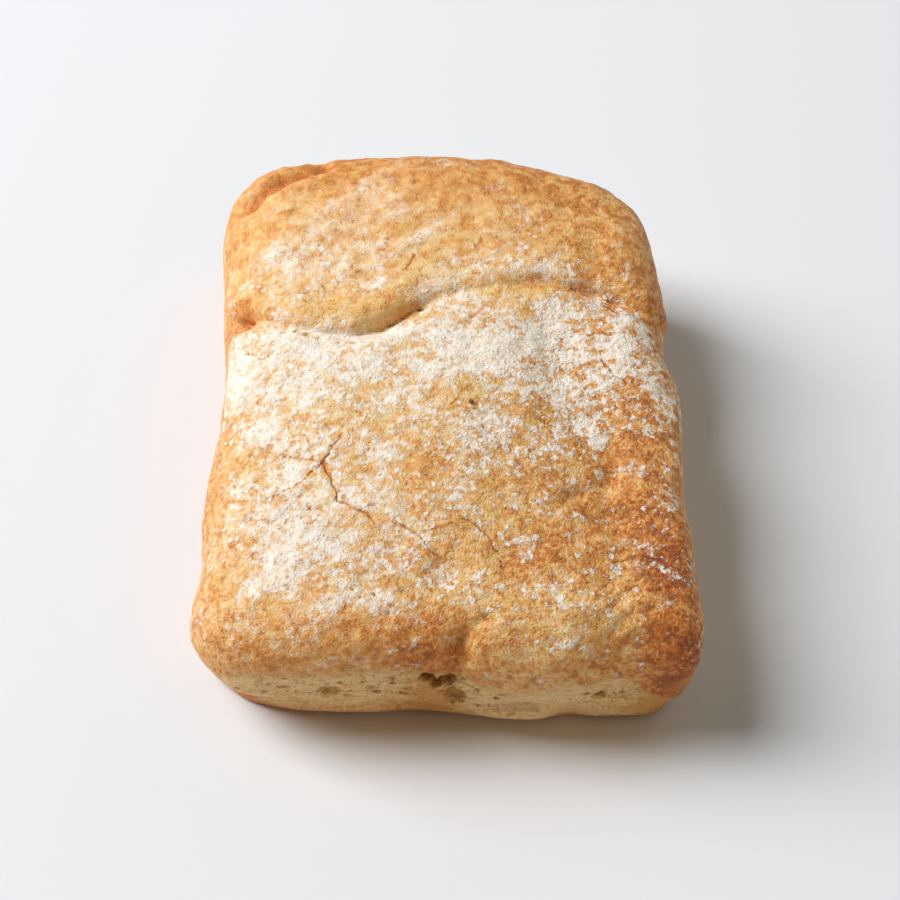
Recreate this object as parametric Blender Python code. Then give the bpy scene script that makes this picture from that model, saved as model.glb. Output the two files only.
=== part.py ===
"""Ciabatta roll: one baked piece of dough with a floury crust, standing on its flat base.

Sizes are millimetres: X across, Y from the front to the back, Z up. The shaped loaf is centred over the
origin and written in metres at the end.

The loaf starts as a box of small quads. Smooth rules round it, spread its base, swell its sides and raise
its crown. Relief is then pushed in along the surface's direction: the fold across the crown, dents, the
wrinkled right edge, open crumb pores and cracks in the crust. The quads are finer near the fold, cracks and
pores. At the end the smooth parts get larger faces, and the base is made level.
"""

import itertools

import bmesh
import bpy
import numpy as np

MM = 0.001
NAME = "loaf"

# The plain box before it is rounded, and how finely it is divided.
BOX = np.array((95.0, 126.0, 31.0))
ROUNDING = 15.5
BASE_INSET = 6.0
QUAD = 1.7
MOST_TRIANGLES = 11400

# Swellings of the side walls: (where along the wall, reach, how far out). A reach of 400 moves all of it.
LEFT_SWELLS = ((62, 20, 2.0), (-49, 8, 2.5), (-26, 14, 0.6), (12, 14, -1.0))
RIGHT_SWELLS = ((0, 400, -2.6), (72, 30, -6.0), (34, 18, -1.4), (9, 7, -2.6), (-34, 14, 1.0), (-58, 13, 2.0))
BACK_SWELLS = ((0, 400, -9.0), (-8, 20, 2.6), (-30, 7, -0.8), (-43, 8, 1.4), (29, 12, -2.4), (50, 18, -7.0))
FRONT_SWELLS = ((-22, 12, -0.4), (20, 14, 0.8), (2, 6, -0.8))

# Where the foot of a wall tucks in: (where along the wall, reach, how far in), up to this height.
FRONT_TUCKS = ((-42, 12, 7.4), (-24, 10, 2.0), (-7, 8, 4.6), (23.4, 3.2, 3.6), (34, 10, 1.8))
LEFT_TUCKS = ((-58, 10, 3.0), (20, 16, 1.0))
RIGHT_TUCKS = ((-50, 14, -0.6), (-10, 20, 0.8))
TUCK_HEIGHT = 16.0

# Where the foot of a corner is drawn in level towards the middle, fading upwards: (x, y, reach, how far).
FOOT_PULLS = ((-45, -60, 9, 3.2),)
FOOT_HEIGHT = 12.0

# The base is flat out to this share of its width and length, and further out near a corner by the bow.
# Beyond that it curls up, quickly at first, to the most curl. So the loaf stands near its four corners.
STAND_SHARE = 0.78
STAND_BOW = 0.16
BASE_CURL = 2.0
MOST_CURL = 0.8

# What lies this close to the base's plane after the thinning is brought back onto it.
LEVEL_WITHIN = 0.06

# How much squarer than a round each shoulder is, at left, right, back and front.
SHOULDER_FILL = {"left": 0.9, "right": 5.5, "back": 6.5, "front": 2.2}

# How much squarer than a round each upright corner is.
CORNER_FILL = {("left", "front"): 1.2, ("right", "front"): 2.2, ("left", "back"): 1.6, ("right", "back"): 0.8}

# How far the shaped loaf is moved in the end, so that the middle of its outline is over the origin.
CENTRING = np.array((0.55, 2.6, 0.0))

# The crown and its lobes: (x, y, reach across, reach along, height).
CROWN = 6.4
LOBES = (
    (-4, 46, 60, 19, 5.5),
    (-16, -20, 24, 26, 1.2),
    (34, -40, 18, 20, 0.2),
)

# The fold across the crown, from left to right: (x, y, depth).
FOLD = (
    (-47, 21.0, 0.8),
    (-42.5, 17.6, 2.4),
    (-37, 13.6, 1.6),
    (-32, 11.4, 1.6),
    (-24.5, 9.0, 2.2),
    (-19, 9.0, 2.6),
    (-13, 11.4, 3.2),
    (-8.5, 13.6, 2.8),
    (-3.5, 16.2, 1.4),
    (3, 18.4, 0.9),
    (11, 19.6, 0.9),
    (20, 22.6, 1.4),
    (29.5, 20.4, 2.4),
    (36.5, 18.0, 2.4),
    (42.5, 15.8, 1.4),
    (47, 14.0, 0.8),
)
FOLD_NEAR_REACH = 3.8
FOLD_FAR_REACH = 1.7
FOLD_LIP = 1.6

# Dents: (x, y, reach across, reach along, turn in degrees, depth).
DENTS = (
    (23.0, -1.0, 5.6, 15.0, -14, 2.0),
    (-41.6, 17.4, 1.9, 2.8, 10, 1.9),
    (25.0, -29.6, 1.6, 4.2, 62, 1.7),
    (31.6, -25.0, 2.6, 5.0, 15, 1.4),
    (32.0, -33.5, 5.0, 5.0, 0, 0.9),
    (-0.4, -47.6, 4.2, 3.4, 0, 1.6),
    (2.6, -60.4, 1.7, 2.4, 0, 2.6),
    (6.0, -57.4, 1.6, 5.5, 55, 1.1),
    (-20.0, 34.0, 16.0, 7.0, -10, 0.6),
    (-36.0, -36.0, 5.0, 18.0, 5, 0.6),
    (37.0, 40.0, 6.0, 8.0, 20, 0.9),
)

# Cracks in the crust, each a chain of plan points; the width narrows towards the end.
CRACKS = (
    ((-24.0, -23.9), (-22.3, -21.0), (-20.6, -18.2), (-20.1, -15.6)),
    ((-24.0, -23.9), (-27.3, -22.6), (-31.6, -21.2)),
    ((-24.0, -23.9), (-28.5, -28.2), (-35.3, -31.4)),
    ((-24.0, -23.9), (-21.3, -29.4), (-20.7, -32.2), (-15.0, -35.4), (-13.5, -37.7)),
    ((-9.7, -36.9), (-5.5, -39.6), (-1.2, -44.7)),
    ((-5.5, -39.6), (-0.2, -37.9), (3.0, -36.3), (8.3, -33.2)),
    ((3.0, -36.3), (6.4, -37.9), (10.1, -44.4), (10.4, -46.7)),
    ((31.6, -44.2), (36.5, -43.1), (40.8, -44.3)),
    ((-6.7, 26.8), (-7.7, 24.0), (-9.9, 20.9)),
)
CRACK_WIDTH = 0.62
CRACK_DEPTH = 0.8

# Open pores and notches in the walls: (wall, along, height, reach along, reach up, depth).
PORES = (
    ("front", -2.0, 18.6, 1.1, 1.5, 2.4),
    ("front", -3.6, 21.2, 1.5, 1.1, 1.8),
    ("front", 0.2, 19.8, 1.6, 2.0, 1.8),
    ("front", 1.4, 13.8, 2.0, 3.4, 1.3),
    ("front", -22.0, 17.0, 2.3, 1.5, 1.0),
    ("front", 29.0, 15.4, 1.2, 1.5, 1.6),
    ("front", 14.0, 12.0, 5.0, 2.4, 0.8),
    ("right", -40.0, 18.0, 2.4, 1.6, 1.0),
    ("right", -14.0, 14.0, 2.0, 1.4, 0.9),
    ("left", -20.0, 12.0, 2.6, 1.6, 0.9),
    ("left", 30.0, 13.0, 2.2, 1.8, 0.9),
    ("back", 10.0, 11.0, 3.0, 1.6, 1.1),
    ("back", -24.0, 9.0, 2.0, 1.5, 0.9),
)

# The lip that runs round the back left corner, in plan, and how deep the groove inside it is.
LIP = ((-42.0, 44.5), (-39.0, 47.0), (-33.5, 49.6), (-26.0, 53.0))
LIP_DEPTH = 1.7

# Slow unevenness of the whole surface: (size of the lumps, height, seed).
LUMPS = ((26.0, 1.1, 11), (11.0, 0.55, 23), (5.0, 0.24, 37))

CRUST_COLOUR = (0.72, 0.43, 0.17, 1.0)
CRUST_ROUGHNESS = 0.85


def clear_scene():
    for obj in list(bpy.data.objects):
        bpy.data.objects.remove(obj)


def noise(points, size, seed):
    """Smooth noise from -1 to 1: a random value at each corner of cubes of this size, blended inside them."""
    scaled = points / size
    cell = np.floor(scaled).astype(np.int64)
    part = scaled - cell
    part = part * part * (3 - 2 * part)
    total = np.zeros(len(points))
    for corner in itertools.product((0, 1), repeat=3):
        mixed = (cell + corner) @ np.array((374761393, 668265263, 974634777)) + seed * 1442695041
        mixed = mixed & 0xFFFFFFFF
        mixed = ((mixed ^ (mixed >> 13)) * 1274126177) & 0xFFFFFFFF
        value = (mixed ^ (mixed >> 16)) / 2**31 - 1
        total += value * np.prod(np.where(corner, part, 1 - part), axis=1)
    return total


def bell(distance):
    """1 at no distance, falling smoothly to nothing at about 2."""
    return np.exp(-distance * distance)


def ramp(value, low, high):
    """0 below low, 1 above high, smooth between."""
    share = np.clip((value - low) / (high - low), 0, 1)
    return share * share * (3 - 2 * share)


def swell(along, swells):
    return sum(amount * bell((along - middle) / reach) for middle, reach, amount in swells)


def facing(out):
    """How much the surface looks to the left, right, back and front, each from 0 to 1."""
    left, right = np.clip(-out[:, 0], 0, 1), np.clip(out[:, 0], 0, 1)
    front, back = np.clip(-out[:, 1], 0, 1), np.clip(out[:, 1], 0, 1)
    return {"left": left, "right": right, "back": back, "front": front}


def rounded_box(lattice):
    """Points of the box moved onto its rounded form, and the direction out of it at each.

    Every point has a nearest point in a smaller inner box. It moves to one rounding radius from there."""
    inner = BOX / 2 - ROUNDING
    core = np.clip(lattice, -inner, inner)
    share = np.tan(np.pi / 4 * (lattice - core) / ROUNDING)
    out = share / np.linalg.norm(share, axis=1, keepdims=True)
    return core + ROUNDING * out, out


def base_form(lattice):
    """The smooth loaf, before its relief, and the direction out of it."""
    points, out = rounded_box(lattice)
    x, y, z = points.T
    level = np.hypot(out[:, 0], out[:, 1])

    # The base spreads, so that the wall tucks under tightly and stands on a wide flat.
    half = BOX / 2
    for axis in (0, 1):
        spread = (half[axis] - BASE_INSET) / (half[axis] - ROUNDING) - 1
        points[:, axis] *= np.where(out[:, 2] < 0, 1 + spread * (1 - level), 1)

    # Each wall swells by its own rule, most at the wall and not at all in the middle.
    near_side, near_end = (x / half[0]) ** 2, (y / half[1]) ** 2
    left, right = swell(y, LEFT_SWELLS), swell(y, RIGHT_SWELLS)
    back, front = swell(x, BACK_SWELLS), swell(x, FRONT_SWELLS)
    x_push = near_side * np.where(x > 0, right, -left)
    y_push = near_end * np.where(y > 0, back, -front)

    # The shoulders and upright corners are squarer than a quarter round.
    looks = facing(out)
    fill = sum(amount * looks[side] ** 2 for side, amount in SHOULDER_FILL.items())
    squarer = 4 * fill * np.clip(out[:, 2], 0, 1) ** 2
    for (side, end), amount in CORNER_FILL.items():
        squarer += amount * (2 * looks[side] * looks[end]) ** 2
    points += out * squarer[:, None]

    # The crown rises over the upper half, with its lobes.
    rise = CROWN * (1 - (x / 54) ** 2) * (1 - (y / 72) ** 2)
    for middle_x, middle_y, across, along, height in LOBES:
        rise += height * bell(np.hypot((x - middle_x) / across, (y - middle_y) / along))
    upper = ramp(z, -ROUNDING * 0.2, ROUNDING)

    points += np.stack([x_push, y_push, rise * upper + ROUNDING], axis=1)
    return points, out


def past_fold(points):
    """How far each point lies behind the fold's line, which wanders a little."""
    along, line, _ = np.array(FOLD).T
    wander = 0.7 * noise(points, 6.0, 5)
    return points[:, 1] + wander - np.interp(points[:, 0], along, line)


def fold_relief(points, out):
    """How deep the fold lies below the crown, and how far its far lip leans over it."""
    along, _, depth = np.array(FOLD).T
    past = past_fold(points)
    deep = np.interp(points[:, 0], along, depth) * ramp(out[:, 2], 0.15, 0.8)
    reach = np.where(past < 0, FOLD_NEAR_REACH, FOLD_FAR_REACH)
    sunk = deep * bell(past / reach)
    bulge = 0.35 * deep * bell((past - 5.0) / 3.5)
    lean = FOLD_LIP * deep / 3.5 * bell((past - 1.8) / 1.6)
    return bulge - sunk, lean


def dent_relief(points, out):
    """Finger dents and hollows in the top, each a turned oval bell."""
    total = np.zeros(len(points))
    for x, y, across, along, turn, depth in DENTS:
        angle = np.radians(turn)
        side, ahead = points[:, 0] - x, points[:, 1] - y
        over = side * np.cos(angle) - ahead * np.sin(angle)
        down = side * np.sin(angle) + ahead * np.cos(angle)
        total -= depth * bell(np.hypot(over / across, down / along))
    return total * ramp(out[:, 2], 0.1, 0.7)


def distance_to_chain(plan, chain):
    """Distance in plan from each point to a chain of straight pieces, and the share of the chain there."""
    best, share = np.full(len(plan), 1e9), np.zeros(len(plan))
    pieces = list(zip(chain[:-1], chain[1:]))
    for index, (start, end) in enumerate(pieces):
        start, end = np.array(start), np.array(end)
        step = end - start
        foot = np.clip((plan - start) @ step / (step @ step), 0, 1)
        gap = np.linalg.norm(plan - start - foot[:, None] * step, axis=1)
        closer = gap < best
        best = np.where(closer, gap, best)
        share = np.where(closer, (index + foot) / len(pieces), share)
    return best, share


def crack_distance(points, out):
    """Distance to the nearest crack, in crack widths; far on the sides and under the loaf."""
    jag = 0.35 * np.stack([noise(points, 1.6, 71), noise(points, 1.6, 72)], axis=1)
    plan = points[:, :2] + jag
    nearest = np.full(len(points), 1e9)
    for chain in CRACKS:
        gap, share = distance_to_chain(plan, chain)
        width = CRACK_WIDTH * (1 - 0.6 * share)
        nearest = np.minimum(nearest, gap / width)
    return np.where(out[:, 2] > 0.3, nearest, 1e9)


def wall_distance(points, out, pore):
    """Distance from a pore's middle along its wall, in the pore's own reaches."""
    wall, along, height, reach_along, reach_up, _ = pore
    axis = 0 if wall in ("left", "right") else 1
    offset = (points[:, 1 - axis] - along) / reach_along
    rise = (points[:, 2] - height) / reach_up
    return np.where(facing(out)[wall] > 0.3, np.hypot(offset, rise), 1e9)


def pore_relief(points, out):
    """Open pores of the crumb, with steep sides and a flat bottom."""
    total = np.zeros(len(points))
    for pore in PORES:
        ragged = wall_distance(points, out, pore) + 0.25 * noise(points, 1.8, 91)
        total = np.minimum(total, -pore[-1] * ramp(-ragged, -1.25, -0.6))
    return total


def edge_relief(points, out):
    """The wrinkled right edge, the flat facet at its front corner and the lip round the back left corner."""
    x, y, z = points.T
    right_edge = bell((x - 44.5) / 2.6) * ramp(-y, -5, 25) * ramp(out[:, 2], 0.0, 0.5)
    wrinkle = 0.5 * noise(points * (1, 0.5, 1), 5.0, 41)
    corner_flat = bell(np.hypot((x - 34.5) / 8.0, (y + 61.0) / 5.0)) * ramp(z, 8, 20)
    corner_knob = bell(np.hypot((x - 44.0) / 4.5, (y + 58.0) / 5.0)) * ramp(z, 5, 14)
    groove = bell(distance_to_chain(points[:, :2], LIP)[0] / 1.9) * ramp(out[:, 2], 0.05, 0.5)
    return right_edge * (0.9 + wrinkle) - 2.0 * corner_flat + 1.3 * corner_knob - LIP_DEPTH * groove


def hem_relief(points, out):
    """The uneven lower rim: the foot of the wall tucks in here and there, and lifts off the base."""
    x, y, z = points.T
    looks = facing(out)
    tuck = (
        swell(x, FRONT_TUCKS) * looks["front"]
        + swell(y, LEFT_TUCKS) * looks["left"]
        + swell(y, RIGHT_TUCKS) * looks["right"]
    )
    rim = bell((z - 1.5) / 2.5) * ramp(np.hypot(out[:, 0], out[:, 1]), 0.15, 0.6)
    return rim * (0.7 * noise(points, 9.0, 61) - 0.3) - tuck * ramp(-z, -TUCK_HEIGHT, -2.0)


def foot_pull(points):
    """How the foot of a corner moves: level and inwards, by a round bell in plan that fades upwards."""
    x, y, z = points.T
    moved = np.zeros_like(points)
    for middle_x, middle_y, reach, amount in FOOT_PULLS:
        near = bell(np.hypot(x - middle_x, y - middle_y) / reach) * ramp(-z, -FOOT_HEIGHT, 0)
        inwards = -np.array((middle_x, middle_y, 0)) / np.hypot(middle_x, middle_y)
        moved += amount * near[:, None] * inwards
    return moved


def base_height(lattice):
    """The least height of the surface: nothing in the middle, and the curl up towards the rim."""
    across, along = np.abs(lattice[:, :2] / (BOX[:2] / 2 - ROUNDING)).T
    beyond_side = across - STAND_SHARE - STAND_BOW * along**2
    beyond_end = along - STAND_SHARE - STAND_BOW * across**2
    beyond = np.clip(np.maximum(beyond_side, beyond_end), 0, None)
    return np.minimum(BASE_CURL * np.sqrt(beyond), MOST_CURL)


def loaf_form(lattice):
    """The finished surface for points of the plain box."""
    points, out = base_form(lattice)
    upper = ramp(out[:, 2], -0.75, -0.3)
    lumps = sum(height * noise(points, size, seed) for size, height, seed in LUMPS)
    sunk, lean = fold_relief(points, out)
    crack = -CRACK_DEPTH * ramp(-crack_distance(points, out), -1.0, -0.1)
    height = upper * lumps + sunk + dent_relief(points, out) + pore_relief(points, out)
    height += edge_relief(points, out) + hem_relief(points, out) + crack
    moved = points + out * height[:, None] + foot_pull(points) + CENTRING
    moved[:, 1] -= lean
    moved[:, 2] = np.maximum(moved[:, 2], base_height(lattice))
    return moved


def divided_box():
    """The plain box as quads of about the same size on every face."""
    mesh = bmesh.new()
    bmesh.ops.create_cube(mesh, size=1.0)
    bmesh.ops.scale(mesh, vec=BOX, verts=mesh.verts)
    for axis in range(3):
        lengthwise = [
            edge for edge in mesh.edges if abs(edge.verts[0].co[axis] - edge.verts[1].co[axis]) > 1e-6
        ]
        cuts = round(BOX[axis] / QUAD) - 1
        bmesh.ops.subdivide_edges(mesh, edges=lengthwise, cuts=cuts, use_grid_fill=True)
    return mesh


def quarter_faces(mesh, near_detail):
    """Divides in four each face whose middle and size pass the test, so that narrow relief keeps shape."""
    centres = np.array([face.calc_center_median() for face in mesh.faces])
    size = np.sqrt([face.calc_area() for face in mesh.faces])
    points, out = base_form(centres)
    faces = [face for face, wanted in zip(mesh.faces, near_detail(points, out, size)) if wanted]
    edges = {edge for face in faces for edge in face.edges}
    bmesh.ops.subdivide_edges(mesh, edges=list(edges), cuts=1, use_grid_fill=True)


def near_crack_or_pore(points, out, size):
    near = crack_distance(points, out) * CRACK_WIDTH < 0.5 + size
    for pore in PORES:
        near |= wall_distance(points, out, pore) < 1.5 + size / 2
    return near


def near_any_detail(points, out, size):
    beside_fold = (np.abs(past_fold(points) - 0.5) < 3.5) & (out[:, 2] > 0.4)
    return near_crack_or_pore(points, out, size) | beside_fold


def crust_material():
    material = bpy.data.materials.new("baked_crust")
    material.use_nodes = True
    shader = material.node_tree.nodes["Principled BSDF"]
    shader.inputs["Base Color"].default_value = CRUST_COLOUR
    shader.inputs["Roughness"].default_value = CRUST_ROUGHNESS
    shader.inputs["Metallic"].default_value = 0.0
    return material


def thin_out(loaf):
    """Gives the loaf fewer and larger faces where it is smooth."""
    thinned = loaf.modifiers.new("fewer_faces", "DECIMATE")
    thinned.ratio = min(1.0, MOST_TRIANGLES / len(loaf.data.polygons))
    graph = bpy.context.evaluated_depsgraph_get()
    thin = bpy.data.meshes.new_from_object(loaf.evaluated_get(graph))
    loaf.modifiers.clear()
    loaf.data = thin
    thin.name = NAME


def flatten_base(data):
    """Brings the points that thinning has moved a hair off the base's plane back onto it."""
    points = np.empty(len(data.vertices) * 3, np.float32)
    data.vertices.foreach_get("co", points)
    height = points[2::3]
    points[2::3] = np.where(height < LEVEL_WITHIN * MM, 0, height)
    data.vertices.foreach_set("co", points)
    data.update()


def build_loaf(collection):
    mesh = divided_box()
    quarter_faces(mesh, near_any_detail)
    quarter_faces(mesh, near_crack_or_pore)
    bmesh.ops.triangulate(mesh, faces=mesh.faces)
    bmesh.ops.recalc_face_normals(mesh, faces=mesh.faces)
    data = bpy.data.meshes.new(NAME)
    mesh.to_mesh(data)
    mesh.free()

    lattice = np.empty(len(data.vertices) * 3, np.float32)
    data.vertices.foreach_get("co", lattice)
    surface = loaf_form(lattice.reshape(-1, 3).astype(float)) * MM
    data.vertices.foreach_set("co", surface.astype(np.float32).ravel())
    data.update()
    data.shade_smooth()
    data.materials.append(crust_material())

    loaf = bpy.data.objects.new(NAME, data)
    collection.objects.link(loaf)
    thin_out(loaf)
    flatten_base(loaf.data)
    return loaf


def main():
    clear_scene()
    ciabatta = bpy.data.collections.new("ciabatta")
    bpy.context.scene.collection.children.link(ciabatta)
    build_loaf(ciabatta)


main()
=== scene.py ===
"""Ciabatta roll on a pale studio floor: the loaf's crust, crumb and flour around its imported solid."""

import itertools

import bmesh
import bpy
import numpy as np
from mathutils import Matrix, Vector


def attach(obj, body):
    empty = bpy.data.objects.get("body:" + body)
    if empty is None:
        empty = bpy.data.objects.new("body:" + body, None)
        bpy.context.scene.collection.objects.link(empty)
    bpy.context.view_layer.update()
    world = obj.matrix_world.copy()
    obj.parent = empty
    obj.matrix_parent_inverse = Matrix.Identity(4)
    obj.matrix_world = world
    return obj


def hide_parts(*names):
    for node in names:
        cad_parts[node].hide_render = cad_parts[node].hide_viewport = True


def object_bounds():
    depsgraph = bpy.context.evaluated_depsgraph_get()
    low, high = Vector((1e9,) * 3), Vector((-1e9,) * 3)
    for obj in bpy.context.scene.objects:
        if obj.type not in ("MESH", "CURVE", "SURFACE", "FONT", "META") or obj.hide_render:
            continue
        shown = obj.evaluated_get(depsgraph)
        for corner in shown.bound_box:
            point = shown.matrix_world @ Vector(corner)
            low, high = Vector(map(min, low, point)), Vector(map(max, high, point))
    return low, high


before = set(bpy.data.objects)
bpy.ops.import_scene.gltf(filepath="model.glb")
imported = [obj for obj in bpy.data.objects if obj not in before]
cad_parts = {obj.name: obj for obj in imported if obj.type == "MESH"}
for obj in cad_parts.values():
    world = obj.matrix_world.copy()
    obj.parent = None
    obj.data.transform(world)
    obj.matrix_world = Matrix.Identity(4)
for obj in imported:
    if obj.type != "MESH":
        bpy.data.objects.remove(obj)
cad_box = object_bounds()


# ---------------------------------------------------------------------------------------------------------
# The loaf: one piece of wet dough, folded over once, floured and baked. Its crust is thin, dry and blistered.
# The front and right walls tore from their neighbours in the oven, so the pale open crumb shows there.
# ---------------------------------------------------------------------------------------------------------

# A millimetre in metres. The loaf and its flour are worked out in millimetres until their meshes are filled.
MM = 0.001

# The plain box before it is rounded, and how finely it is divided.
BOX = np.array((95.0, 126.0, 31.0))
ROUNDING = 15.5
BASE_INSET = 6.0
QUAD = 2.25

# Swellings of the four side walls: (where along the wall, reach, how far out). A reach of 400 moves all of
# the wall.
LEFT_SWELLS = ((62, 20, 2.0), (-49, 8, 2.5), (-26, 14, 0.6), (12, 14, -1.0))
RIGHT_SWELLS = ((0, 400, -2.6), (72, 30, -6.0), (34, 18, -1.4), (9, 7, -2.6), (-34, 14, 1.0), (-58, 13, 2.0))
BACK_SWELLS = ((0, 400, -9.0), (-8, 20, 2.6), (-30, 7, -0.8), (-43, 8, 1.4), (29, 12, -2.4), (50, 18, -7.0))
FRONT_SWELLS = ((-22, 12, -0.4), (20, 14, 0.8), (2, 6, -0.8))

# Where the foot of a wall tucks in: (where along the wall, reach, how far in), up to this height.
FRONT_TUCKS = ((-42, 12, 7.4), (-24, 10, 2.0), (-7, 8, 4.6), (23.4, 3.2, 3.6), (34, 10, 1.8))
LEFT_TUCKS = ((-58, 10, 3.0), (20, 16, 1.0))
RIGHT_TUCKS = ((-50, 14, -0.6), (-10, 20, 0.8))
TUCK_HEIGHT = 16.0

# Where the foot of a corner is drawn in level towards the middle, fading upwards: (x, y, reach, how far).
FOOT_PULLS = ((-45, -60, 9, 3.2),)
FOOT_HEIGHT = 12.0

# The base is flat out to this share of its width and length, and further out near a corner by the bow.
# Beyond that it curls up, quickly at first, to the most curl. So the loaf stands near its four corners.
STAND_SHARE = 0.78
STAND_BOW = 0.16
BASE_CURL = 2.0
MOST_CURL = 0.8

# How much squarer than a round each shoulder and each upright corner is.
SHOULDER_FILL = {"left": 0.9, "right": 5.5, "back": 6.5, "front": 2.2}
CORNER_FILL = {("left", "front"): 1.2, ("right", "front"): 2.2, ("left", "back"): 1.6, ("right", "back"): 0.8}

# How far the shaped loaf is moved in the end, so that the middle of its outline is over the origin.
CENTRING = np.array((0.55, 2.6, 0.0))

# The crown, with how far from the middle it comes down to nothing, across and along, and its lobes:
# (x, y, reach across, reach along, height).
CROWN = 6.4
CROWN_REACH = (54, 72)
LOBES = ((-4, 46, 60, 19, 5.5), (-16, -20, 24, 26, 1.2), (34, -40, 18, 20, 0.2))

# The fold across the crown, from left to right: (x, y, depth).
FOLD = (
    (-47, 21.0, 0.8),
    (-42.5, 17.6, 2.4),
    (-37, 13.6, 1.6),
    (-32, 11.4, 1.6),
    (-24.5, 9.0, 2.2),
    (-19, 9.0, 2.6),
    (-13, 11.4, 3.2),
    (-8.5, 13.6, 2.8),
    (-3.5, 16.2, 1.4),
    (3, 18.4, 0.9),
    (11, 19.6, 0.9),
    (20, 22.6, 1.4),
    (29.5, 20.4, 2.4),
    (36.5, 18.0, 2.4),
    (42.5, 15.8, 1.4),
    (47, 14.0, 0.8),
)
FOLD_NEAR_REACH = 3.8
FOLD_FAR_REACH = 1.7
FOLD_WANDER = 0.7

# Behind the fold, as shares of its depth: a bulge, and the lip that leans forwards over it. Each has its
# (share, how far behind the line, reach).
FOLD_BULGE = (0.35, 5.0, 3.5)
FOLD_LIP = (1.6 / 3.5, 1.8, 1.6)

# Dents: (x, y, reach across, reach along, turn in degrees, depth).
DENTS = (
    (23.0, -1.0, 5.6, 15.0, -14, 2.0),
    (-41.6, 17.4, 1.9, 2.8, 10, 1.9),
    (25.0, -29.6, 1.6, 4.2, 62, 1.7),
    (31.6, -25.0, 2.6, 5.0, 15, 1.4),
    (32.0, -33.5, 5.0, 5.0, 0, 0.9),
    (-0.4, -47.6, 4.2, 3.4, 0, 1.6),
    (2.6, -60.4, 1.7, 2.4, 0, 2.6),
    (6.0, -57.4, 1.6, 5.5, 55, 1.1),
    (-20.0, 34.0, 16.0, 7.0, -10, 0.6),
    (-36.0, -36.0, 5.0, 18.0, 5, 0.6),
    (37.0, 40.0, 6.0, 8.0, 20, 0.9),
)

# Cracks in the crust, each half its width and a chain of plan points; it narrows towards the end.
CRACKS = (
    (0.12, ((-24.0, -23.9), (-22.3, -21.0), (-20.6, -18.2), (-20.1, -15.6))),
    (0.07, ((-24.0, -23.9), (-27.3, -22.6), (-31.6, -21.2))),
    (0.08, ((-24.0, -23.9), (-28.5, -28.2), (-35.3, -31.4))),
    (0.17, ((-24.0, -23.9), (-21.3, -29.4), (-20.7, -32.2), (-15.0, -35.4), (-13.5, -37.7))),
    (0.10, ((-9.7, -36.9), (-5.5, -39.6), (-1.2, -44.7))),
    (0.08, ((-5.5, -39.6), (-0.2, -37.9), (3.0, -36.3), (8.3, -33.2))),
    (0.08, ((3.0, -36.3), (6.4, -37.9), (10.1, -44.4), (10.4, -46.7))),
    (0.09, ((31.6, -44.2), (36.5, -43.1), (40.8, -44.3))),
    (0.10, ((-6.7, 26.8), (-7.7, 24.0), (-9.9, 20.9))),
    (0.08, ((32.5, 16.4), (35.8, 13.9), (39.6, 14.5), (42.7, 13.7))),
    (0.08, ((30.9, 2.1), (32.5, -0.8), (35.8, -4.3))),
    (0.06, ((-39.8, 5.8), (-36.8, 2.8), (-31.3, 6.5))),
    (0.08, ((4.2, -6.6), (2.3, -9.3), (0.7, -11.2))),
    (0.06, ((-27.6, -35.6), (-26.2, -33.4))),
)
CRACK_DEPTH = 0.55
CRACK_TAPER = 0.6
CRACK_JAG = 0.35

# Open pores and notches in the walls: (wall, along, height, reach along, reach up, depth).
PORES = (
    ("front", -2.0, 18.6, 1.1, 1.5, 2.4),
    ("front", -3.6, 21.2, 1.5, 1.1, 1.8),
    ("front", 0.2, 19.8, 1.6, 2.0, 1.8),
    ("front", 1.4, 13.8, 2.0, 3.4, 1.3),
    ("front", -22.0, 17.0, 2.3, 1.5, 1.0),
    ("front", 29.0, 15.4, 1.2, 1.5, 1.6),
    ("front", 14.0, 12.0, 5.0, 2.4, 0.8),
    ("right", -40.0, 18.0, 2.4, 1.6, 1.0),
    ("right", -14.0, 14.0, 2.0, 1.4, 0.9),
    ("left", -20.0, 12.0, 2.6, 1.6, 0.9),
    ("left", 30.0, 13.0, 2.2, 1.8, 0.9),
    ("back", 10.0, 11.0, 3.0, 1.6, 1.1),
    ("back", -24.0, 9.0, 2.0, 1.5, 0.9),
)

# Pinholes and short splits in the crust of the top: (x, y, reach across, reach along, turn in degrees,
# depth).
PINHOLES = (
    (5.6, -10.5, 1.1, 0.55, -12, 1.4),
    (-30.6, 10.0, 0.45, 0.3, 0, 0.9),
    (-28.2, 9.0, 0.5, 0.3, 20, 0.9),
    (-26.0, 8.0, 0.4, 0.25, 0, 0.8),
    (-21.6, 5.8, 0.6, 0.35, -20, 1.0),
    (-11.4, 12.2, 1.0, 0.4, -28, 1.0),
    (-8.9, 13.5, 0.6, 0.35, -30, 0.9),
    (-5.6, 15.1, 1.0, 0.4, -32, 1.0),
    (-17.4, -50.6, 1.0, 0.3, -40, 0.7),
    (-13.5, -51.5, 0.7, 0.3, -30, 0.8),
    (-16.0, -52.2, 0.3, 0.3, 0, 0.5),
    (32.8, -32.4, 0.35, 0.3, 0, 0.9),
    (26.2, 20.6, 1.3, 0.5, -25, 1.3),
    (35.0, 18.6, 1.4, 0.45, -20, 1.2),
    (16.2, -20.4, 0.3, 0.25, 0, 0.8),
    (24.2, -46.8, 0.25, 0.25, 0, 0.8),
    (36.8, -3.6, 0.4, 0.3, 0, 0.8),
)

# The lip that runs round the back left corner, in plan, and the depth and reach of the groove inside it.
LIP = ((-42.0, 44.5), (-39.0, 47.0), (-33.5, 49.6), (-26.0, 53.0))
LIP_DEPTH = 2.1
LIP_REACH = 1.9

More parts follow.
